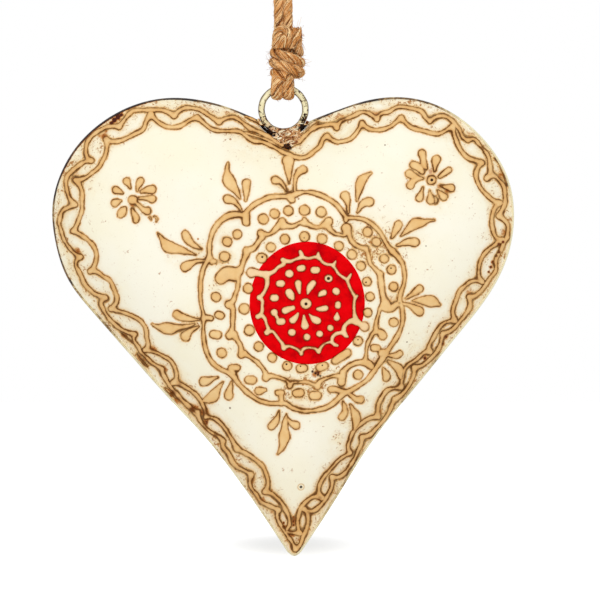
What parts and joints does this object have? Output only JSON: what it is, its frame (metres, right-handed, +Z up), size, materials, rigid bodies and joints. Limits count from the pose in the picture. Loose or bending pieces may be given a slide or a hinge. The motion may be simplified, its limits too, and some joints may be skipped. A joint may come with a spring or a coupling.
{
  "type": "hanging heart ornament",
  "caption": "Puffed sheet-metal heart with raised piped line work and a red medallion, hung by a ring on a knotted jute cord.",
  "frame": {"origin": "the point where the cord's loop bears on its nail", "axes": "+Z up along the cord, the worked face looks to -Y, +X to the right as one faces it"},
  "size_m": [0.2, 0.0378, 0.2663],
  "materials": {
    "cream_paint": "aged satin",
    "ring_paint": "worn satin",
    "weld_metal": "rough",
    "red_paint": "gloss",
    "piped_slip": "stained satin",
    "jute": "hairy"
  },
  "bodies": {
    "loop": {"hang_loop": "jute"},
    "knot": {"knot_core": "jute", "cord_knot": "jute", "ring_bights": "jute"},
    "heart": {"front_shell": "cream_paint", "back_shell": "cream_paint", "seam_weld": "cream_paint", "hanging_ring": "ring_paint", "ring_weld": "weld_metal", "red_disc": "red_paint", "border_outer_line": "piped_slip", "border_inner_line": "piped_slip", "medallion_outline": "piped_slip", "medallion_wave": "piped_slip", "outer_dots": "piped_slip", "inner_dots": "piped_slip", "disc_wave": "piped_slip", "disc_dots": "piped_slip", "disc_petals": "piped_slip", "disc_boss": "piped_slip", "sprig_top": "piped_slip", "sprig_top_left": "piped_slip", "sprig_left_high": "piped_slip", "sprig_left_low": "piped_slip", "sprig_bottom_left": "piped_slip", "sprig_bottom": "piped_slip", "sprig_bottom_right": "piped_slip", "sprig_right_low": "piped_slip", "sprig_right_mid": "piped_slip", "sprig_right_high": "piped_slip", "sprig_top_right": "piped_slip", "left_flower": "piped_slip", "right_flower": "piped_slip"}
  },
  "joints": [
    {"name": "cord_twist", "type": "hinge", "parent": "loop", "child": "knot", "pos_m": [0, 0, -0.0341], "axis": [0, 0, 1], "range_deg": [-90, 90]},
    {"name": "ring_tilt", "type": "hinge", "parent": "knot", "child": "heart", "pos_m": [0, 0, -0.06], "axis": [1, 0, 0], "range_deg": [-90, 90]}
  ]
}
